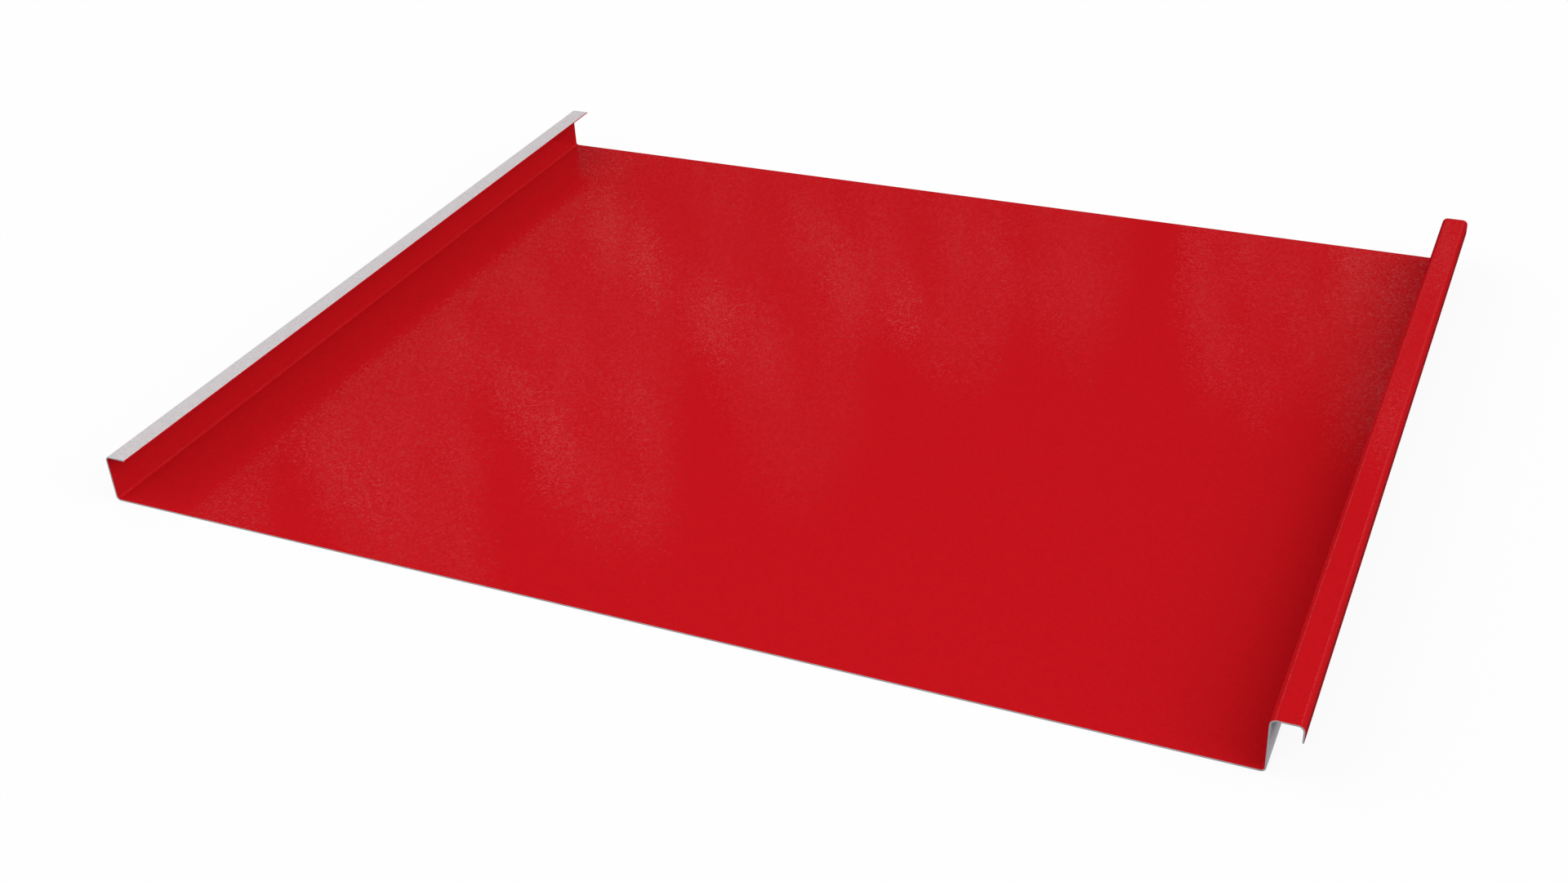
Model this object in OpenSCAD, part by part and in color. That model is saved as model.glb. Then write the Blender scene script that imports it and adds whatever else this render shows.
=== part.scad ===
// Standing seam roof panel, formed along both edges and ready for a double lock seam.
// It is one strip of coated steel sheet with no joint in it. The section is walked along the
// strip from the middle of the pan: each flat run and each bend carries the next one at its
// far end, so the sheet keeps its thickness all the way to both free edges.
// Origin at the centre of the pan's underside, X across the panel, Y along it, Z up.

/* [Sheet] */
// Thickness of the sheet with its coats
sheet_t = 0.65; // [0.4:0.05:1.2]

/* [Pan] */
// Cover width of the panel, over the outer faces of the two upstands
pan_w = 550; // [200:5:900]
// Length of the panel along the roof's slope
pan_l = 450; // [100:10:3000]
// Inside radius of the bends between the pan and its upstands
foot_bend_r = 1.6; // [0.8:0.1:3]

/* [Undercloak] */
// Height of the undercloak above the pan's underside
under_h = 24.7; // [15:0.1:40]
// Width of the undercloak's flange, from the upstand's outer face to the free edge
under_flange_w = 11.5; // [6:0.1:20]
// Inside radius of the bend between the upstand and the flange
under_bend_r = 1.5; // [0.8:0.1:3]

/* [Overcloak] */
// Gap that the overcloak leaves over and beside the next panel's undercloak
seam_gap = 0.3; // [0.1:0.05:1]
// Depth of the overcloak's lip, from the top of the cap to the free edge
lip_h = 7.9; // [6:0.1:15]

/* [Hidden] */
$fn = 96;
topcoat_red = [0.76, 0.08, 0.11];

// The overcloak seats over an undercloak like this panel's own
over_bend_r = under_bend_r + sheet_t;
over_h = under_h + seam_gap + sheet_t;
cap_w = sheet_t + under_flange_w + seam_gap + sheet_t;

// Outside radii, which each bend takes from the flat runs beside it
foot_bend_out = foot_bend_r + sheet_t;
under_bend_out = under_bend_r + sheet_t;
over_bend_out = over_bend_r + sheet_t;

// Flat run of sheet along X, with its underside on the X axis
module flat_run(run_l) {
    square([run_l, sheet_t]);
    translate([run_l, 0])
        children();
}

// Quarter ring of sheet about the origin, in the first quadrant
module quarter_bend(inside_r) {
    outside_r = inside_r + sheet_t;
    intersection() {
        difference() {
            circle(r = outside_r);
            circle(r = inside_r);
        }
        square(outside_r);
    }
}

// Quarter bend that turns the sheet towards its top face
module bend_up(inside_r) {
    outside_r = inside_r + sheet_t;
    translate([0, outside_r])
        rotate(-90)
            quarter_bend(inside_r);
    translate([outside_r, outside_r])
        rotate(90)
            children();
}

// Quarter bend that turns the sheet towards its underside
module bend_down(inside_r) {
    translate([0, -inside_r])
        quarter_bend(inside_r);
    translate([inside_r, -inside_r])
        rotate(-90)
            children();
}

// Half of the pan with the undercloak: an upstand whose flange turns in over the pan
module undercloak_half() {
    flat_run(pan_w / 2 - foot_bend_out)
        bend_up(foot_bend_r)
            flat_run(under_h - foot_bend_out - under_bend_out)
                bend_up(under_bend_r)
                    flat_run(under_flange_w - under_bend_out);
}

// Half of the pan with the overcloak: an upstand whose cap turns outwards and ends in a lip
module overcloak_half() {
    flat_run(pan_w / 2 - foot_bend_out)
        bend_up(foot_bend_r)
            flat_run(over_h - foot_bend_out - over_bend_out)
                bend_down(over_bend_r)
                    flat_run(cap_w - 2 * over_bend_out)
                        bend_down(over_bend_r)
                            flat_run(lip_h - over_bend_out);
}

// Whole panel: its section carried along the length
module panel() {
    color(topcoat_red)
        rotate([90, 0, 0])
            linear_extrude(height = pan_l, center = true) {
                mirror([1, 0])
                    undercloak_half();
                overcloak_half();
            }
}

panel();
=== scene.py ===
"""Looks of a standing seam roof panel: one strip of coated steel sheet, set over its CAD frame.

The strip is modelled flat, as a slab with softened edges, and then carried round its bends. Its
upper face and its long edges have the red topcoat, its underside the grey back coat, and the
sheared ends are bare.
"""

from math import pi, radians

import bpy
import numpy as np
from bpy.props import FloatProperty, FloatVectorProperty, PointerProperty
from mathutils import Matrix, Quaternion, Vector


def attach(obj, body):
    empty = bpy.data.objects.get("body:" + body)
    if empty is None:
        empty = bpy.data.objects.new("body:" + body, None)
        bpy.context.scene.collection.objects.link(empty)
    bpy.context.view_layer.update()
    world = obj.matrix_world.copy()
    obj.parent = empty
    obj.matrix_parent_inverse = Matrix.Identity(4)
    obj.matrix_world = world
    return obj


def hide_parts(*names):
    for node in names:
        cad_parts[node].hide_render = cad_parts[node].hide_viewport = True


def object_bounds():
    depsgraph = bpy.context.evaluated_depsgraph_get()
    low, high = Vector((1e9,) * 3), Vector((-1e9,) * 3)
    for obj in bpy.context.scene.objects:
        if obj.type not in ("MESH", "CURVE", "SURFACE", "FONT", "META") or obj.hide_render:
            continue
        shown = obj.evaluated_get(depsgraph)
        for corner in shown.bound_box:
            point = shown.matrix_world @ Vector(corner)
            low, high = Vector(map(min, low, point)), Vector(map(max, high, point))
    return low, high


bl_info = {
    "name": "Standing Seam Roof Panel",
    "version": (1, 0, 0),
    "blender": (4, 5, 0),
    "location": "View3D > Sidebar > Roof Panel",
    "description": "Makes a coated steel roof panel with its undercloak and overcloak, and a studio for it",
    "category": "Add Mesh",
}

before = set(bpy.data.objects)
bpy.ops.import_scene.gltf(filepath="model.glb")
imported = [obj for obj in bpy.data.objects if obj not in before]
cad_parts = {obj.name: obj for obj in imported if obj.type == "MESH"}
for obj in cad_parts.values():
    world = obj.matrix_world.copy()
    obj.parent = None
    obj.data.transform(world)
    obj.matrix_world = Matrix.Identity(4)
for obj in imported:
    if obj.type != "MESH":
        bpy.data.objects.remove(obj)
cad_low, cad_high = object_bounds()

# Cuts of the mesh along a bend and along a quarter turn of a softened edge, and the longest facet
# of a flat run
BEND_CUTS = 24
EDGE_CUTS = 4
LONGEST_FACET = 0.012

# Material slots of the sheet's mesh, in the order in which the materials are added
TOPCOAT, BACK_COAT, CUT_EDGE = range(3)


class RoofPanelSizes(bpy.types.PropertyGroup):
    """Sizes of the sheet and of its formed edges. Those of the CAD model's box come from the frame."""

    cover_width: FloatProperty(
        name="Cover width",
        description="Width over the outer faces of the two upstands",
        default=-2 * cad_low.x,
        min=0.2,
        unit="LENGTH",
        subtype="DISTANCE",
    )
    length: FloatProperty(
        name="Length",
        description="Length of the panel along the roof's slope",
        default=cad_high.y - cad_low.y,
        min=0.1,
        unit="LENGTH",
        subtype="DISTANCE",
    )
    over_height: FloatProperty(
        name="Overcloak height",
        description="Height of the cap's top above the pan's underside",
        default=cad_high.z,
        min=0.015,
        unit="LENGTH",
        subtype="DISTANCE",
    )
    cap_overhang: FloatProperty(
        name="Cap overhang",
        description="How far the lip's outer face stands out past the overcloak's upstand",
        default=cad_high.x + cad_low.x,
        min=0.006,
        unit="LENGTH",
        subtype="DISTANCE",
    )
    lip_depth: FloatProperty(
        name="Lip depth",
        description="Depth of the overcloak's lip below the top of the cap",
        default=0.0079,
        min=0.006,
        unit="LENGTH",
        subtype="DISTANCE",
    )
    thickness: FloatProperty(
        name="Sheet thickness",
        description="Thickness of the sheet with its coats",
        default=0.00065,
        min=0.0004,
        unit="LENGTH",
        subtype="DISTANCE",
    )
    seam_gap: FloatProperty(
        name="Seam gap",
        description="Gap that the overcloak leaves over and beside the next panel's undercloak",
        default=0.0003,
        min=0.0,
        unit="LENGTH",
        subtype="DISTANCE",
    )
    foot_radius: FloatProperty(
        name="Foot bend",
        description="Inside radius of the bends between the pan and its upstands",
        default=0.0016,
        min=0.0008,
        unit="LENGTH",
        subtype="DISTANCE",
    )
    flange_radius: FloatProperty(
        name="Flange bend",
        description="Inside radius of the bend between the undercloak's upstand and its flange",
        default=0.0015,
        min=0.0008,
        unit="LENGTH",
        subtype="DISTANCE",
    )
    edge_softening: FloatProperty(
        name="Edge softening",
        description="Radius on the corners of the sheet's edges",
        default=0.00008,
        min=0.00001,
        unit="LENGTH",
        subtype="DISTANCE",
    )


class RoofPanelFinish(bpy.types.PropertyGroup):
    """Colours and surface of the coats and of the sheared steel."""

    topcoat_colour: FloatVectorProperty(
        name="Topcoat",
        description="Colour of the coat on the weather side",
        default=(0.60, 0.0076, 0.0124),
        size=3,
        min=0.0,
        max=1.0,
        subtype="COLOR",
    )
    topcoat_roughness: FloatProperty(
        name="Topcoat roughness",
        description="Roughness within a grain of the topcoat",
        default=0.04,
        min=0.0,
        max=1.0,
        subtype="FACTOR",
    )
    lip_roughness: FloatProperty(
        name="Lip roughness",
        description="Roughness of the topcoat on the overcloak's lip, which the last rollers rub dull",
        default=0.35,
        min=0.0,
        max=1.0,
        subtype="FACTOR",
    )
    # Painted highlight: a pale colour laid on the topcoat in thin broken lines along the bends, in place of
    # the gloss that the bends catch
    bend_highlight_colour: FloatVectorProperty(
        name="Painted bend highlights",
        description="Pale colour painted along the bends as highlight lines",
        default=(0.62, 0.06, 0.07),
        size=3,
        min=0.0,
        max=1.0,
        subtype="COLOR",
    )
    back_coat_colour: FloatVectorProperty(
        name="Back coat",
        description="Colour of the coat on the underside",
        default=(0.68, 0.633, 0.647),
        size=3,
        min=0.0,
        max=1.0,
        subtype="COLOR",
    )
    steel_colour: FloatVectorProperty(
        name="Sheared steel",
        description="Colour of the zinc and steel in the sheared ends",
        default=(0.55, 0.55, 0.56),
        size=3,
        min=0.0,
        max=1.0,
        subtype="COLOR",
    )
    grain_size: FloatProperty(
        name="Grain size",
        description="Size of the fine grains in both coats",
        default=0.0009,
        min=0.0002,
        unit="LENGTH",
        subtype="DISTANCE",
    )
    grain_lean: FloatProperty(
        name="Grain lean",
        description="Largest angle by which a grain of the topcoat leans out of the sheet's plane",
        default=radians(0.5),
        min=0.0,
        unit="ROTATION",
        subtype="ANGLE",
    )


class RoofPanelStudio(bpy.types.PropertyGroup):
    """Camera, floor and light."""

    camera_aim: FloatVectorProperty(
        name="Camera aim",
        description="Point on the pan that the camera looks at",
        default=(0.007955, -0.069615, 0.0),
        size=3,
        unit="LENGTH",
        subtype="TRANSLATION",
    )
    camera_azimuth: FloatProperty(
        name="Camera azimuth",
        description="Direction that the camera stands in, from -Y towards +X",
        default=radians(25.956),
        unit="ROTATION",
        subtype="ANGLE",
    )
    camera_elevation: FloatProperty(
        name="Camera elevation",
        description="Height of the camera above the horizon, seen from its aim",
        default=radians(31.720),
        unit="ROTATION",
        subtype="ANGLE",
    )
    camera_roll: FloatProperty(
        name="Camera roll",
        description="Turn of the camera about its line of sight",
        default=radians(-3.564),
        unit="ROTATION",
        subtype="ANGLE",
    )
    camera_distance: FloatProperty(
        name="Camera distance",
        description="Distance from the camera to its aim",
        default=0.92703,
        unit="LENGTH",
        subtype="DISTANCE",
    )
    camera_lens: FloatProperty(
        name="Lens",
        description="Focal length on a sensor 36 mm wide",
        default=43.523,
        min=10.0,
        unit="CAMERA",
    )
    dome_level: FloatProperty(
        name="Dome level",
        description="Level of the soft light all round, where 1 shows a colour about as it is written",
        default=1.0,
        min=0.0,
    )
    floor_bounce: FloatVectorProperty(
        name="Floor bounce",
        description="Colour and share of the light that the floor throws back up at the panel",
        default=(0.22, 0.26, 0.30),
        size=3,
        min=0.0,
        max=1.0,
        subtype="COLOR",
    )


def undercloak_size(sizes):
    """Undercloak's height and its flange's width, which fit in the overcloak with the seam gap."""
    height = sizes.over_height - sizes.seam_gap - sizes.thickness
    flange_width = sizes.cap_overhang - sizes.seam_gap - sizes.thickness
    return height, flange_width


def strip_layout(sizes):
    """Lengths and turns of the strip's runs and bends, in order from the undercloak's free edge.

    A bend's length is a quarter turn times the radius of the sheet's middle. A flat run is its
    size over all, less the outside radii of the bends beside it.
    """
    under_height, flange_width = undercloak_size(sizes)
    t = sizes.thickness
    over_radius = sizes.flange_radius + t
    foot_out = sizes.foot_radius + t
    flange_out = sizes.flange_radius + t
    over_out = over_radius + t
    quarter = pi / 2
    layout = (
        (flange_width - flange_out, 0),
        (quarter * (sizes.flange_radius + t / 2), quarter),
        (under_height - flange_out - foot_out, 0),
        (quarter * (sizes.foot_radius + t / 2), quarter),
        (sizes.cover_width - 2 * foot_out, 0),
        (quarter * (sizes.foot_radius + t / 2), quarter),
        (sizes.over_height - foot_out - over_out, 0),
        (quarter * (over_radius + t / 2), -quarter),
        (sizes.cap_overhang + t - 2 * over_out, 0),
        (quarter * (over_radius + t / 2), -quarter),
        (sizes.lip_depth - over_out, 0),
    )
    return np.array(layout).T


def middle_line(sizes):
    """Middle line of the bent sheet: distance along it, X, Z and direction angle of its points.

    The angle holds along a flat run and grows evenly with distance in a bend. A step from one
    point to the next is the chord of its arc, which is the step's length times the sine of half
    its turn over half its turn, in the mean direction. The points are the running sum of chords.
    """
    lengths, turns = strip_layout(sizes)
    flat_cuts = np.ceil(lengths / LONGEST_FACET) + 1
    cuts = np.where(turns == 0, flat_cuts, BEND_CUTS).astype(int)
    step = np.repeat(lengths / cuts, cuts)
    turn = np.repeat(turns / cuts, cuts)
    angle = pi + np.concatenate(([0], np.cumsum(turn)))
    mean_angle = angle[1:] - turn / 2
    chord = step * np.sinc(turn / (2 * pi))
    under_height, flange_width = undercloak_size(sizes)
    start_x = flange_width - sizes.cover_width / 2
    start_z = under_height - sizes.thickness / 2
    along = np.concatenate(([0], np.cumsum(step)))
    x = start_x + np.concatenate(([0], np.cumsum(chord * np.cos(mean_angle))))
    z = start_z + np.concatenate(([0], np.cumsum(chord * np.sin(mean_angle))))
    return along, x, z, angle


def cross_cut(along, sizes):
    """Outline of the flattened strip's cross cut, as core points and directions that stand off them.

    The core is the cross cut less the softening all round. The direction points up along the
    upper face, swings from up through outwards to down round one free edge, points down along
    the underside and swings back up round the other. An outline point is its core point plus
    the softening radius times the direction (sine, cosine) of its angle.
    """
    soft = sizes.edge_softening
    core_h = sizes.thickness / 2 - soft
    face = np.clip(along, soft, along[-1] - soft)
    swing = np.linspace(0, pi / 2, EDGE_CUTS + 1)
    first, second = swing[1:], swing[:-1] + pi / 2
    end = np.ones(EDGE_CUTS)
    core_along = np.concatenate((face, end * face[-1], end * face[-1], face[::-1], end * soft, end * soft))
    core_height = core_h * np.concatenate(
        (np.ones(face.size), end, -end, -np.ones(face.size), -end, end)
    )
    angle = np.concatenate(
        (np.zeros(face.size), first, second, np.full(face.size, pi), first + pi, second + pi)
    )
    return core_along, core_height, angle, face.size


def length_rows(sizes):
    """Rows along the panel's length: core place and the angle that the rounding has turned there.

    The angle goes from a quarter turn back, at the near end's face, to none, and at the far
    end from none to a quarter turn ahead. Between the ends the rows are evenly spaced.
    """
    reach = sizes.length / 2 - sizes.edge_softening
    swing = np.linspace(0, pi / 2, EDGE_CUTS + 1)
    count = int(np.ceil(2 * reach / LONGEST_FACET)) + 1
    plain = np.linspace(-reach, reach, count)
    end = np.ones(EDGE_CUTS)
    core_y = np.concatenate((end * -reach, plain, end * reach))
    angle = np.concatenate((-swing[:0:-1], np.zeros(count), swing[1:]))
    return core_y, angle


def slab(sizes, along):
    """Closed surface of the flattened strip, as points and outward directions (along, height, length).

    It is a function of two parameters: the place on the cross cut's outline, at angle a, and the
    row, at angle b. The point is the core point plus the softening radius times the direction
    (cos b sin a, cos b cos a, sin b). The two end faces are ladders between upper and lower rows.
    """
    core_along, core_height, around, face_count = cross_cut(along, sizes)
    core_y, lengthways = length_rows(sizes)
    around, lengthways = np.meshgrid(around, lengthways)
    core = np.stack(
        np.broadcast_arrays(core_along[None, :], core_height[None, :], core_y[:, None]), axis=-1
    )
    outward = np.stack(
        (np.cos(lengthways) * np.sin(around), np.cos(lengthways) * np.cos(around), np.sin(lengthways)),
        axis=-1,
    )
    points = core + sizes.edge_softening * outward

    rows, columns = around.shape
    index = np.arange(rows * columns).reshape(rows, columns)
    beside = np.roll(index, -1, axis=1)
    skin = np.stack((index[:-1], beside[:-1], beside[1:], index[1:]), axis=-1)
    upper = index[:, :face_count]
    lower_start = face_count + 2 * EDGE_CUTS
    lower = index[:, lower_start:lower_start + face_count][:, ::-1]
    near = np.stack((lower[0, :-1], lower[0, 1:], upper[0, 1:], upper[0, :-1]), axis=-1)
    far = np.stack((upper[-1, :-1], upper[-1, 1:], lower[-1, 1:], lower[-1, :-1]), axis=-1)

    coat = np.full(skin.shape[:2], CUT_EDGE)
    coat[EDGE_CUTS:-EDGE_CUTS] = TOPCOAT
    coat[EDGE_CUTS:-EDGE_CUTS, lower_start:lower_start + face_count - 1] = BACK_COAT
    ends = np.full(near.shape[0] + far.shape[0], CUT_EDGE)
    faces = np.concatenate((skin.reshape(-1, 4), near, far))
    coats = np.concatenate((coat.ravel(), ends))
    return points.reshape(-1, 3), outward.reshape(-1, 3), faces, coats


def weld(points, outward, faces, coats):
    """Joins points that fall together at the slab's corners, and drops the sides that close up there.

    A face that keeps three corners becomes a triangle, and one that keeps two is left out.
    """
    _, first, joined = np.unique(
        np.round(points, 8), axis=0, return_index=True, return_inverse=True
    )
    faces = joined.reshape(-1)[faces]
    closed = faces == np.roll(faces, -1, axis=1)
    whole = ~closed.any(axis=1)
    pinched = closed.sum(axis=1) == 1
    turn = closed[pinched].argmax(axis=1)[:, None] + np.arange(1, 4)
    triangles = np.take_along_axis(faces[pinched], turn % 4, axis=1)
    shapes = faces[whole].tolist() + triangles.tolist()
    coats = np.concatenate((coats[whole], coats[pinched]))
    return points[first], outward[first], shapes, coats


def bend_round(points, outward, line):
    """Carries the flat slab round the bends.

    A point at distance s along the sheet, height h and length y goes to the middle line's point
    at s, plus h along the line's left-hand normal, plus y along Y. Its direction turns with it.
    """
    along, x, z, angle = line
    here = np.interp(points[:, 0], along, angle)
    tangent = np.stack((np.cos(here), np.zeros_like(here), np.sin(here)), axis=1)
    normal = np.stack((-np.sin(here), np.zeros_like(here), np.cos(here)), axis=1)
    lengthways = np.array((0.0, 1.0, 0.0))
    middle = np.stack(
        (np.interp(points[:, 0], along, x), points[:, 2], np.interp(points[:, 0], along, z)), axis=1
    )
    bent = middle + points[:, 1:2] * normal
    turned = outward[:, 0:1] * tangent + outward[:, 1:2] * normal + outward[:, 2:3] * lengthways
    return bent, turned


def panel_mesh(sizes):
    """Mesh of the whole strip.

    Its strip attribute keeps each point's distance along the sheet, height in its thickness and
    place along its length, from before it was bent.
    """
    line = middle_line(sizes)
    points, outward, shapes, coats = weld(*slab(sizes, line[0]))
    bent, turned = bend_round(points, outward, line)
    mesh = bpy.data.meshes.new("panel_sheet")
    mesh.from_pydata(bent.tolist(), [], shapes)
    mesh.polygons.foreach_set("material_index", coats.astype(np.int32))
    mesh.polygons.foreach_set("use_smooth", np.ones(len(shapes), bool))
    strip = mesh.attributes.new("strip", "FLOAT_VECTOR", "POINT")
    strip.data.foreach_set("vector", points.astype(np.float32).ravel())
    mesh.update()
    mesh.normals_split_custom_set_from_vertices(turned.tolist())
    return mesh


def feed(tree, sockets, values):
    """Links other nodes' outputs to sockets in order, or sets the sockets to plain values."""
    for socket, value in zip(sockets, values):
        if isinstance(value, bpy.types.NodeSocket):
            tree.links.new(value, socket)
        else:
            socket.default_value = value


def add_node(tree, kind, settings=None, **inputs):
    """Adds a shader node, changes its own settings and feeds its named inputs."""
    node = tree.nodes.new("ShaderNode" + kind)
    for name, value in (settings or {}).items():
        setattr(node, name, value)
    feed(tree, [node.inputs[name] for name in inputs], inputs.values())
    return node


def math_node(tree, operation, *values):
    """Result of one sum on numbers or on other nodes' outputs."""
    node = add_node(tree, "Math", {"operation": operation})
    feed(tree, node.inputs, values)
    return node.outputs["Value"]


def vector_node(tree, operation, *values):
    """Result of one vector sum on vectors or on other nodes' outputs."""
    node = add_node(tree, "VectorMath", {"operation": operation})
    feed(tree, node.inputs, values)
    return node.outputs["Value" if operation == "DOT_PRODUCT" else "Vector"]


def scaled(tree, vector, factor):
    """Vector or colour times a number."""
    node = add_node(tree, "VectorMath", {"operation": "SCALE"}, Vector=vector, Scale=factor)
    return node.outputs["Vector"]


def ramp(tree, value, low, high, to_low=0.0, to_high=1.0, smooth=False):
    """Output that goes from one level to another while the value goes from low to high."""
    node = add_node(tree, "MapRange", {"interpolation_type": "SMOOTHSTEP" if smooth else "LINEAR"})
    feed(tree, node.inputs, (value, low, high, to_low, to_high))
    return node.outputs["Result"]


def mix_shaders(tree, share, first, second):
    """First shader where the share is 0 and the second where it is 1."""
    node = add_node(tree, "MixShader")
    feed(tree, node.inputs, (share, first, second))
    return node.outputs["Shader"]


def blank_material(name):
    """Material with a Principled shader and an output, and Object coordinates to read."""
    material = bpy.data.materials.new(name)
    material.use_nodes = True
    tree = material.node_tree
    tree.nodes.clear()
    shader = add_node(tree, "BsdfPrincipled")
    add_node(tree, "OutputMaterial", Surface=shader.outputs["BSDF"])
    place = add_node(tree, "TexCoord").outputs["Object"]
    return material, tree, shader, place


def dress(tree, shader, colour, roughness, normal):
    """Gives a Principled shader its colour, roughness and normal."""
    sockets = [shader.inputs[name] for name in ("Base Color", "Roughness", "Normal")]
    feed(tree, sockets, (colour, roughness, normal))


def noise(tree, place, size, detail=2.0, roughness=0.5):
    """Noise whose features are about as large as the size, in the coordinates' own unit."""
    node = add_node(tree, "TexNoise", Vector=place, Scale=1 / size, Detail=detail, Roughness=roughness)
    return node.outputs["Fac"]


def stretched(tree, place, scale):
    """Coordinates times a scale along each axis. Where it is below 1, a pattern gets longer."""
    return add_node(tree, "Mapping", Vector=place, Scale=scale).outputs["Vector"]


def relief(tree, height, depth):
    """Surface normal of a fine relief with this depth between its lowest and highest points."""
    return add_node(tree, "Bump", Height=height, Distance=depth, Strength=1.0).outputs["Normal"]


def tone(tree, colour, factor, spread):
    """Colour made lighter or darker, by up to the spread either way.

    It is the colour times a level that goes from 1 less the spread to 1 plus the spread while
    the factor, a noise or a random number, goes from 0.2 to 0.8.
    """
    return scaled(tree, colour, ramp(tree, factor, 0.2, 0.8, 1 - spread, 1 + spread))


# Painted highlights in the topcoat: half widths of the pale lines along the undercloak's foot and
# along the cap, how far the cap's lines are into its bends, and the size of the breaks in all of them
FOOT_HIGHLIGHT_WIDTH = 0.000132
CAP_HIGHLIGHT_WIDTH = 0.000198
CAP_HIGHLIGHT_INSET = 0.0008
HIGHLIGHT_BREAK = 0.0008


# Painted highlight: pale lines mixed into the topcoat's colour along the bends
def painted_bend_highlights(tree, place, sizes):
    """Share of the coat that is painted as highlight: thin broken lines along three of the bends.

    They run along the middle of the undercloak's foot bend and along both sides of the cap, a
    little way into its bends. A line's strength falls smoothly from its middle to its half
    width. It is broken where a noise, twice as long along the panel as across, is low. The lines
    are painted highlights, in place of the gloss that the bends catch.
    """
    ends = np.cumsum(strip_layout(sizes)[0])
    foot_middle = (ends[2] + ends[3]) / 2
    cap_start, cap_end = ends[7], ends[8]
    lines = (
        (foot_middle, FOOT_HIGHLIGHT_WIDTH),
        (cap_start - CAP_HIGHLIGHT_INSET, CAP_HIGHLIGHT_WIDTH),
        (cap_end + CAP_HIGHLIGHT_INSET, CAP_HIGHLIGHT_WIDTH),
    )
    strip = add_node(tree, "Attribute", {"attribute_name": "strip"}).outputs["Vector"]
    along = add_node(tree, "SeparateXYZ", Vector=strip).outputs["X"]
    nearest = 1.0
    for middle, half_width in lines:
        away = math_node(tree, "ABSOLUTE", math_node(tree, "SUBTRACT", along, middle))
        nearest = math_node(tree, "MINIMUM", math_node(tree, "DIVIDE", away, half_width), nearest)
    line = ramp(tree, nearest, 0.0, 1.0, 1.0, 0.0, smooth=True)
    breaks = noise(tree, stretched(tree, place, (1.0, 0.5, 1.0)), HIGHLIGHT_BREAK, detail=3.0, roughness=0.7)
    return math_node(tree, "MULTIPLY", line, ramp(tree, breaks, 0.42, 0.60, smooth=True))


def grains(tree, place, size):
    """Random colour of each grain, whose parts are random numbers from 0 to 1."""
    return add_node(tree, "TexVoronoi", Vector=place, Scale=1 / size).outputs["Color"]


def leaning_normal(tree, random, lean):
    """Surface normal that leans another way in each grain, by up to the lean along each axis."""
    either_way = vector_node(tree, "MULTIPLY_ADD", random, (2.0,) * 3, (-1.0,) * 3)
    normal = add_node(tree, "NewGeometry").outputs["Normal"]
    return vector_node(tree, "NORMALIZE", vector_node(tree, "ADD", normal, scaled(tree, either_way, lean)))


# How much lighter or darker a grain of the topcoat may be
TOPCOAT_SPREAD = 0.035

# Beside the undercloak the grains lean this many times as far. The extra lean falls off between
# these two distances from the undercloak's outer face
BAND_LEAN = 4
BAND_EDGES = (0.038, 0.060)

# Depths inside the lip's outer face between which the coat turns from glossy to dull
LIP_FADE = (0.0009, 0.0002)


def topcoat_material(finish, sizes):
    """Satin red topcoat.

    It is a pavement of fine glossy grains, each a little lighter or darker and leaning its own
    way, more so near the undercloak. It has painted highlight lines along the bends and is rubbed
    dull on the lip.
    """
    material, tree, shader, place = blank_material("red_topcoat")
    random = grains(tree, place, finish.grain_size)
    shade = add_node(tree, "SeparateXYZ", Vector=random).outputs["X"]
    # Painted highlight: the pale bend highlight colour is mixed over the grains' tone where the lines fall
    marks = add_node(tree, "Mix", {"data_type": "RGBA"})
    tree.links.new(painted_bend_highlights(tree, place, sizes), marks.inputs["Factor"])
    tree.links.new(tone(tree, finish.topcoat_colour, shade, TOPCOAT_SPREAD), marks.inputs["A"])
    marks.inputs["B"].default_value = (*finish.bend_highlight_colour, 1.0)
    across = add_node(tree, "SeparateXYZ", Vector=place).outputs["X"]
    lip_face = sizes.cover_width / 2 + sizes.cap_overhang
    roughness = ramp(
        tree, across, lip_face - LIP_FADE[0], lip_face - LIP_FADE[1],
        finish.topcoat_roughness, finish.lip_roughness,
    )
    undercloak_face = -sizes.cover_width / 2
    lean = ramp(
        tree, across, undercloak_face + BAND_EDGES[0], undercloak_face + BAND_EDGES[1],
        BAND_LEAN * finish.grain_lean, finish.grain_lean, smooth=True,
    )
    dress(tree, shader, marks.outputs["Result"], roughness, leaning_normal(tree, random, lean))
    return material


# Back coat: how much lighter or darker a speck may be, roughness of its smoothest and roughest
# spots, and depth of its grain
BACK_COAT_SPREAD = 0.06
BACK_COAT_ROUGHNESS = (0.42, 0.56)
BACK_COAT_DEPTH = 0.00003


def back_coat_material(finish):
    """Plain grey back coat, thinner and flatter in gloss than the topcoat, with a fine speckle."""
    material, tree, shader, place = blank_material("grey_back_coat")
    grain = noise(tree, place, finish.grain_size, detail=3.0, roughness=0.6)
    speckle = add_node(tree, "SeparateXYZ", Vector=grains(tree, place, finish.grain_size)).outputs["X"]
    colour = tone(tree, finish.back_coat_colour, speckle, BACK_COAT_SPREAD)
    roughness = ramp(tree, grain, 0.3, 0.7, *BACK_COAT_ROUGHNESS)
    dress(tree, shader, colour, roughness, relief(tree, grain, BACK_COAT_DEPTH))
    return material


# Sheared ends: heights over the sheet's middle where the burnished band ends and where the broken
# band below it begins, roughness of the two, size and depth of the marks that the shear left, and
# how much lighter or darker they may be
BAND_HEIGHTS = (0.00008, -0.00002)
BAND_ROUGHNESS = (0.34, 0.58)
SHEAR_MARK_SIZE = 0.00025
SHEAR_MARK_DEPTH = 0.00001
STEEL_SPREAD = 0.12

# Share of the sheared steel that is smooth enough to mirror as metal does
STEEL_METALLIC = 0.1


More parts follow.
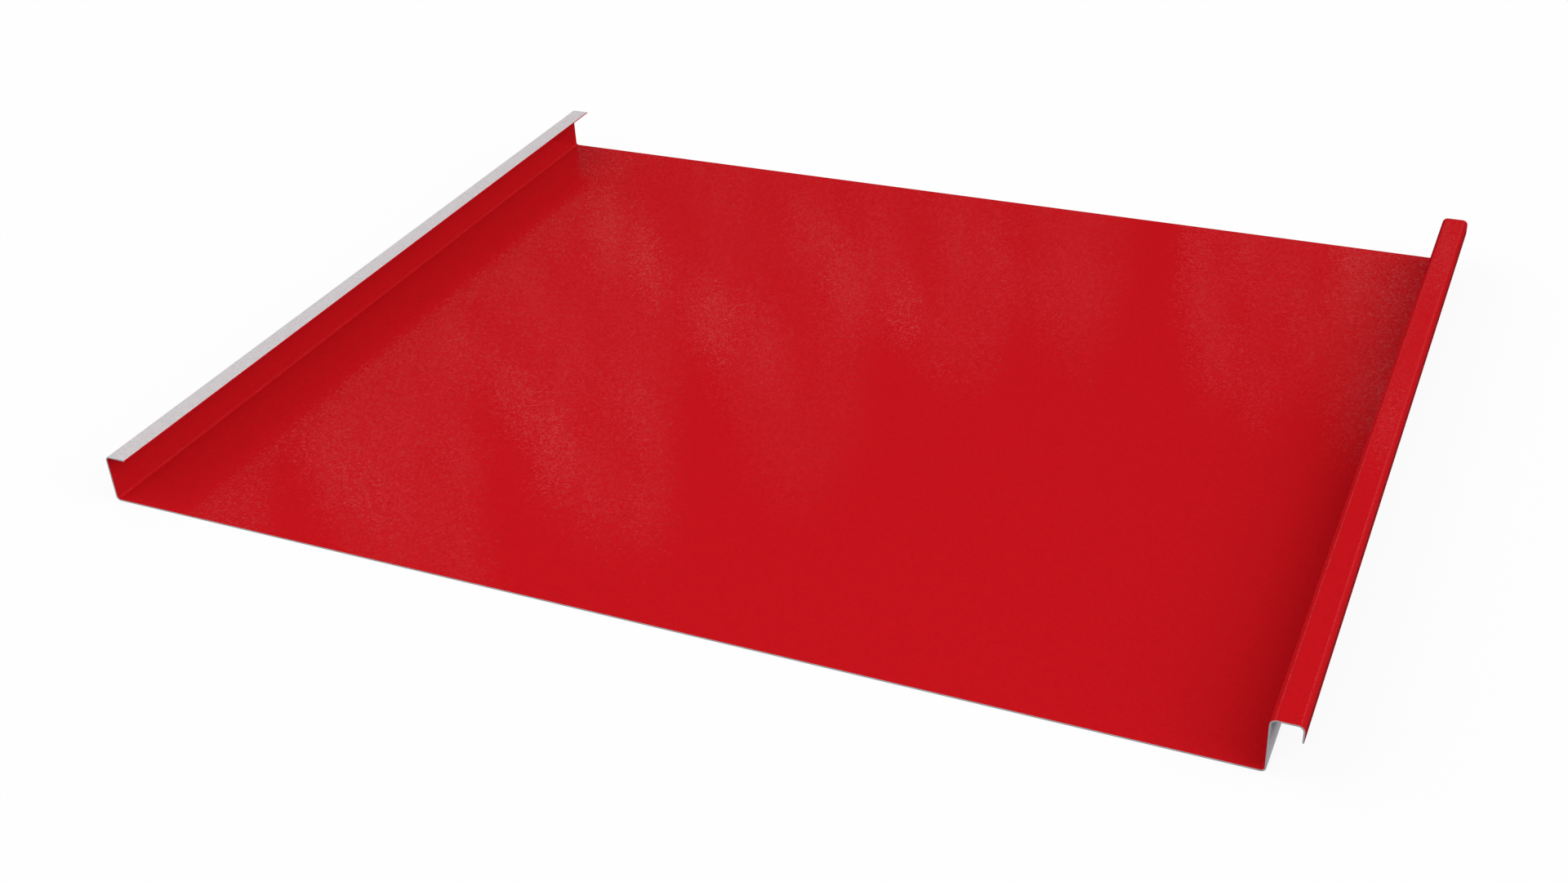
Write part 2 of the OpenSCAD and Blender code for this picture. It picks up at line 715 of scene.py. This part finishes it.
def cut_edge_material(finish):
    """Sheared steel: a burnished band under the topcoat, a duller broken band below it, and marks.

    The marks are a noise drawn out across the thickness. The strip attribute's Y is the height.
    """
    material, tree, shader, _ = blank_material("sheared_steel_edge")
    strip = add_node(tree, "Attribute", {"attribute_name": "strip"}).outputs["Vector"]
    drawn_out = stretched(tree, strip, (1.0, 0.15, 1.0))
    marks = noise(tree, drawn_out, SHEAR_MARK_SIZE, detail=3.0, roughness=0.6)
    colour = tone(tree, finish.steel_colour, marks, STEEL_SPREAD)
    height = add_node(tree, "SeparateXYZ", Vector=strip).outputs["Y"]
    roughness = ramp(tree, height, *BAND_HEIGHTS, *BAND_ROUGHNESS, smooth=True)
    shader.inputs["Metallic"].default_value = STEEL_METALLIC
    dress(tree, shader, colour, roughness, relief(tree, marks, SHEAR_MARK_DEPTH))
    return material


class ROOFPANEL_OT_make_sheet(bpy.types.Operator):
    """Makes the coated sheet with its undercloak, pan and overcloak, and shows it for the CAD panel"""

    bl_idname = "roof_panel.make_sheet"
    bl_label = "Make Panel Sheet"
    bl_options = {"REGISTER", "UNDO"}

    def execute(self, context):
        sizes = context.scene.roof_panel_sizes
        finish = context.scene.roof_panel_finish
        sheet = bpy.data.objects.new("panel_sheet", panel_mesh(sizes))
        context.collection.objects.link(sheet)
        sheet.data.materials.append(topcoat_material(finish, sizes))
        sheet.data.materials.append(back_coat_material(finish))
        sheet.data.materials.append(cut_edge_material(finish))
        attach(sheet, "root")
        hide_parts("panel")
        return {"FINISHED"}


def direction(azimuth, elevation):
    """Unit vector to a place in the studio: azimuth from -Y towards +X, elevation from the horizon."""
    flat = np.cos(elevation)
    return Vector((np.sin(azimuth) * flat, -np.cos(azimuth) * flat, np.sin(elevation)))


def add_camera(studio):
    """Camera at the photograph's viewing angle."""
    data = bpy.data.cameras.new("camera")
    data.sensor_width = 36.0
    data.lens = studio.camera_lens
    camera = bpy.data.objects.new("camera", data)
    bpy.context.collection.objects.link(camera)
    back = direction(studio.camera_azimuth, studio.camera_elevation)
    camera.rotation_mode = "QUATERNION"
    level = (-back).to_track_quat("-Z", "Y")
    camera.rotation_quaternion = level @ Quaternion((0, 0, 1), studio.camera_roll)
    camera.location = studio.camera_aim + back * studio.camera_distance
    bpy.context.scene.camera = camera


# Paleness of the floor to the camera, and the share of plain white in that. The rest is lit, so
# that it shows the panel's shadow
FLOOR_PALENESS = 0.95
FLOOR_WHITE_SHARE = 0.88


def floor_material(studio):
    """Floor that the camera and glass see nearly as white as the backdrop, with a light shadow.

    It throws back only a share of the light, as a studio's far floor does.
    """
    material, tree, shader, _ = blank_material("studio_floor")
    path = add_node(tree, "LightPath").outputs
    seen = math_node(tree, "MAXIMUM", path["Is Camera Ray"], path["Is Transmission Ray"])
    bounce = (*studio.floor_bounce, 1.0)
    pale = (FLOOR_PALENESS, FLOOR_PALENESS, FLOOR_PALENESS, 1.0)
    paint = add_node(tree, "MixRGB", Fac=seen, Color1=bounce, Color2=pale)
    tree.links.new(paint.outputs["Color"], shader.inputs["Base Color"])
    shader.inputs["Roughness"].default_value = 1.0
    shader.inputs["Specular IOR Level"].default_value = 0.0
    white = add_node(tree, "Emission", Color=(1.0, 1.0, 1.0, 1.0), Strength=1.0).outputs["Emission"]
    share = math_node(tree, "MULTIPLY", seen, FLOOR_WHITE_SHARE)
    mixed = mix_shaders(tree, share, shader.outputs["BSDF"], white)
    tree.links.new(mixed, tree.nodes["Material Output"].inputs["Surface"])
    return material


def add_floor(studio):
    """Round floor, level with the pan's underside and just clear of it, far wider than the view."""
    radius, drop, cuts = 30.0, 0.0002, 96
    turn = np.linspace(0, 2 * pi, cuts, endpoint=False)
    rim = np.stack((radius * np.cos(turn), radius * np.sin(turn), np.full(cuts, -drop)), axis=1)
    mesh = bpy.data.meshes.new("studio_floor")
    mesh.from_pydata(rim.tolist(), [], [list(range(cuts))])
    mesh.materials.append(floor_material(studio))
    floor = bpy.data.objects.new("studio_floor", mesh)
    bpy.context.collection.objects.link(floor)
    floor.visible_glossy = False


# Pale cards that stand round the studio for the gloss to mirror, in degrees. Each has the azimuth
# of its middle, from +Y towards +X, its reach to the left and to the right, its top and its level
CARDS = (
    (-45.5, 4.0, 2.2, 33.0, 0.60),
    (-38.3, 4.8, 1.9, 36.2, 0.46),
    (-31.2, 5.2, 1.8, 34.7, 0.54),
    (-25.0, 3.8, 2.5, 33.4, 0.31),
    (-31.0, 13.0, 17.5, 29.2, 0.42),
    (-19.3, 3.4, 1.7, 30.0, 0.44),
    (-15.6, 2.6, 1.6, 29.3, 0.42),
    (-10.2, 2.4, 4.0, 30.6, 0.50),
    (-4.5, 4.6, 5.0, 31.7, 0.54),
)

# Light and dark patches on the cards, in degrees: azimuth, elevation, half length, half width,
# lean from upright towards the right, and what each adds to the level
PATCHES = (
    (-41.3, 30.9, 2.4, 1.1, 38, 0.45),
    (-34.7, 30.2, 3.0, 1.1, 32, 0.45),
    (-37.2, 27.8, 2.0, 1.2, 35, 0.30),
    (-32.3, 24.6, 2.2, 0.9, 75, 0.60),
    (-30.2, 26.2, 1.6, 0.9, 30, 0.30),
    (-27.5, 28.3, 3.2, 1.2, 54, 0.42),
    (-24.1, 25.6, 2.0, 0.8, 12, 0.30),
    (-22.2, 27.4, 2.5, 0.8, 60, 0.45),
    (-18.4, 26.4, 2.1, 0.8, 5, 0.50),
    (-16.5, 27.3, 1.1, 0.9, 20, 0.25),
    (-6.4, 26.5, 2.4, 1.3, 20, 0.60),
    (-7.8, 28.4, 1.4, 0.9, 0, 0.18),
    (-4.8, 29.0, 1.4, 0.9, 0, -0.22),
    (-30.9, 23.2, 2.4, 1.2, 70, -0.30),
    (-28.9, 24.9, 1.7, 0.8, -25, -0.28),
    (-25.5, 26.9, 2.3, 0.8, 40, -0.22),
    (-23.2, 24.8, 1.5, 0.7, 15, -0.26),
    (-20.9, 26.4, 2.2, 0.7, 24, -0.28),
    (-15.5, 26.0, 1.2, 0.8, 0, -0.15),
    (-10.7, 27.3, 2.2, 1.0, 0, -0.15),
)

# Width of the row of cards, which ends at azimuth 0 and repeats seven times all round
CARD_ROW_WIDTH = 360 / 7

# Elevation of the line that the cards' outlines stand on. Their light goes on below it and fades
# out at the second elevation
CARD_FOOT = 22.0
CARD_FADE_END = 5.0

# Power that rounds a card's outline, and the outline's values where its soft edge starts and ends
CARD_POWER = 2.5
CARD_EDGE = (1.13, 0.77)

# Level of a card from which its patches show in full
PATCHES_IN_FULL = 0.35

# Elevations between which the brightness of a card of level 1 grows, and its brightness at them
CARD_ELEVATIONS = (24.0, 35.0)
CARD_BRIGHTNESS = (0.100, 0.190)

# Flecks that the cards' light is broken into: their size, in radians, the noise where they start
# and where they are full, and how bright they are to make up for the dark between them
FLECK_SIZE = 0.005
FLECK_NOISE = (0.54, 0.66)
FLECK_BRIGHTNESS = 5.7

# Cards on the near side of the panel, in directions with a Y below 0, give this share of their
# light. It grows to the whole of it where the direction's Y is the second number
NEAR_CARD_SHARE = 0.3
FULL_CARD_Y = 0.4


def card(tree, azimuth, over_foot, middle, left, right, top, level):
    """Level of one card: it stands on the foot line and narrows to a rounded top.

    The outline's value is the distance aside over the reach on that side, to the card's power,
    plus the height over the card's height to the same power. It is 1 at the card's edge.
    """
    aside = math_node(tree, "SUBTRACT", azimuth, middle)
    to_left = math_node(tree, "MULTIPLY", aside, -1 / left)
    to_right = math_node(tree, "MULTIPLY", aside, 1 / right)
    across = math_node(tree, "POWER", math_node(tree, "MAXIMUM", to_left, to_right), CARD_POWER)
    up = math_node(tree, "MULTIPLY", over_foot, 1 / (top - CARD_FOOT))
    outline = math_node(tree, "ADD", across, math_node(tree, "POWER", up, CARD_POWER))
    return ramp(tree, outline, *CARD_EDGE, 0.0, level, smooth=True)


def patch(tree, spot, azimuth, elevation, half_length, half_width, lean, level):
    """What one patch adds: its level in the middle, falling smoothly to none at its oval edge.

    The oval's value is the squared length of the place in the patch's own frame, which is centred
    on it, turned with it and scaled by its half sizes.
    """
    own = add_node(
        tree, "Mapping", {"vector_type": "TEXTURE"}, Vector=spot, Location=(azimuth, elevation, 0.0),
        Rotation=(0.0, 0.0, -radians(lean)), Scale=(half_width, half_length, 1.0),
    ).outputs["Vector"]
    oval = vector_node(tree, "DOT_PRODUCT", own, own)
    return ramp(tree, oval, 0.0, 1.0, level, 0.0, smooth=True)


def card_row(tree, place, azimuth, elevation):
    """Brightness of the row of cards with its patches, which fades below the foot and is flecked."""
    azimuth = math_node(tree, "WRAP", azimuth, 0.0, -CARD_ROW_WIDTH)
    over_foot = math_node(tree, "MAXIMUM", math_node(tree, "SUBTRACT", elevation, CARD_FOOT), 0.0)
    spot = add_node(tree, "CombineXYZ", X=azimuth, Y=elevation).outputs["Vector"]
    cards, patches = 0.0, 0.0
    for numbers in CARDS:
        cards = math_node(tree, "MAXIMUM", card(tree, azimuth, over_foot, *numbers), cards)
    for numbers in PATCHES:
        patches = math_node(tree, "ADD", patch(tree, spot, *numbers), patches)
    on_card = ramp(tree, cards, 0.0, PATCHES_IN_FULL, smooth=True)
    shine = math_node(tree, "MAXIMUM", math_node(tree, "MULTIPLY_ADD", patches, on_card, cards), 0.0)
    above = ramp(tree, elevation, CARD_FADE_END, CARD_FOOT, smooth=True)
    brightness = ramp(tree, elevation, *CARD_ELEVATIONS, *CARD_BRIGHTNESS)
    fade = math_node(tree, "MULTIPLY", above, brightness)
    flecks = ramp(
        tree, noise(tree, place, FLECK_SIZE, detail=1.0), *FLECK_NOISE, 0.0, FLECK_BRIGHTNESS, smooth=True
    )
    return math_node(tree, "MULTIPLY", shine, math_node(tree, "MULTIPLY", fade, flecks))


# Soft lights in the dome: azimuth, from -Y towards +X, and elevation in degrees, sharpness, level
DOME_LIGHTS = (
    (90, 20, 4, 1.70),
    (90, 50, 4, 1.00),
    (-90, 20, 4, 1.50),
    (-90, 50, 4, 0.50),
    (0, 20, 4, 0.95),
    (180, 20, 4, 0.30),
)


def lobe(tree, place, azimuth, elevation, sharpness, level):
    """Round soft light in the world: its level times the cosine to its middle, to a power."""
    middle = direction(radians(azimuth), radians(elevation))
    facing = math_node(tree, "MAXIMUM", vector_node(tree, "DOT_PRODUCT", place, middle), 0.0)
    return math_node(tree, "MULTIPLY", math_node(tree, "POWER", facing, sharpness), level)


def background(tree, strength):
    """White world light of a strength, given as a number or as another node's output."""
    node = add_node(tree, "Background", Color=(1.0, 1.0, 1.0, 1.0), Strength=strength)
    return node.outputs["Background"]


def build_world(studio):
    """World: white to the camera and to glass, and a soft dome for whatever it lights.

    Gloss sees a dark studio with a row of dim cards round it.
    """
    world = bpy.data.worlds.new("studio")
    world.use_nodes = True
    # Only a surface's own rays find the world's light, so that Light Path can tell their kind
    world.cycles.sampling_method = "NONE"
    bpy.context.scene.world = world
    tree = world.node_tree
    tree.nodes.clear()
    place = add_node(tree, "TexCoord").outputs["Generated"]
    axes = add_node(tree, "SeparateXYZ", Vector=place).outputs
    azimuth = math_node(tree, "DEGREES", math_node(tree, "ARCTAN2", axes["X"], axes["Y"]))
    elevation = math_node(tree, "DEGREES", math_node(tree, "ARCSINE", axes["Z"]))
    side_share = ramp(tree, axes["Y"], 0.0, FULL_CARD_Y, NEAR_CARD_SHARE, 1.0, smooth=True)
    mirrored = math_node(tree, "MULTIPLY", card_row(tree, place, azimuth, elevation), side_share)
    dome = 0.0
    for light in DOME_LIGHTS:
        dome = math_node(tree, "ADD", lobe(tree, place, *light), dome)
    dome = math_node(tree, "MULTIPLY", dome, studio.dome_level)
    path = add_node(tree, "LightPath").outputs
    seen = math_node(tree, "MAXIMUM", path["Is Camera Ray"], path["Is Transmission Ray"])
    lighting = mix_shaders(tree, path["Is Glossy Ray"], background(tree, dome), background(tree, mirrored))
    add_node(tree, "OutputWorld", Surface=mix_shaders(tree, seen, lighting, background(tree, 1.0)))


class ROOFPANEL_OT_set_studio(bpy.types.Operator):
    """Sets up the camera, the pale floor, the white backdrop and the soft light"""

    bl_idname = "roof_panel.set_studio"
    bl_label = "Set Up Studio"
    bl_options = {"REGISTER", "UNDO"}

    def execute(self, context):
        studio = context.scene.roof_panel_studio
        context.scene.view_settings.view_transform = "Standard"
        add_camera(studio)
        add_floor(studio)
        build_world(studio)
        return {"FINISHED"}


class ROOFPANEL_PT_sidebar(bpy.types.Panel):
    """Sizes, finish and studio of the roof panel"""

    bl_idname = "ROOFPANEL_PT_sidebar"
    bl_label = "Roof Panel"
    bl_space_type = "VIEW_3D"
    bl_region_type = "UI"
    bl_category = "Roof Panel"

    def draw(self, context):
        scene = context.scene
        for group in (scene.roof_panel_sizes, scene.roof_panel_finish, scene.roof_panel_studio):
            box = self.layout.box()
            for name in type(group).__annotations__:
                box.prop(group, name)
        self.layout.operator(ROOFPANEL_OT_make_sheet.bl_idname)
        self.layout.operator(ROOFPANEL_OT_set_studio.bl_idname)


CLASSES = (
    RoofPanelSizes,
    RoofPanelFinish,
    RoofPanelStudio,
    ROOFPANEL_OT_make_sheet,
    ROOFPANEL_OT_set_studio,
    ROOFPANEL_PT_sidebar,
)


def register():
    for entry in CLASSES:
        bpy.utils.register_class(entry)
    bpy.types.Scene.roof_panel_sizes = PointerProperty(type=RoofPanelSizes)
    bpy.types.Scene.roof_panel_finish = PointerProperty(type=RoofPanelFinish)
    bpy.types.Scene.roof_panel_studio = PointerProperty(type=RoofPanelStudio)


def unregister():
    del bpy.types.Scene.roof_panel_studio
    del bpy.types.Scene.roof_panel_finish
    del bpy.types.Scene.roof_panel_sizes
    for entry in reversed(CLASSES):
        bpy.utils.unregister_class(entry)


def main():
    register()
    bpy.ops.roof_panel.make_sheet()
    bpy.ops.roof_panel.set_studio()


if __name__ == "__main__":
    main()
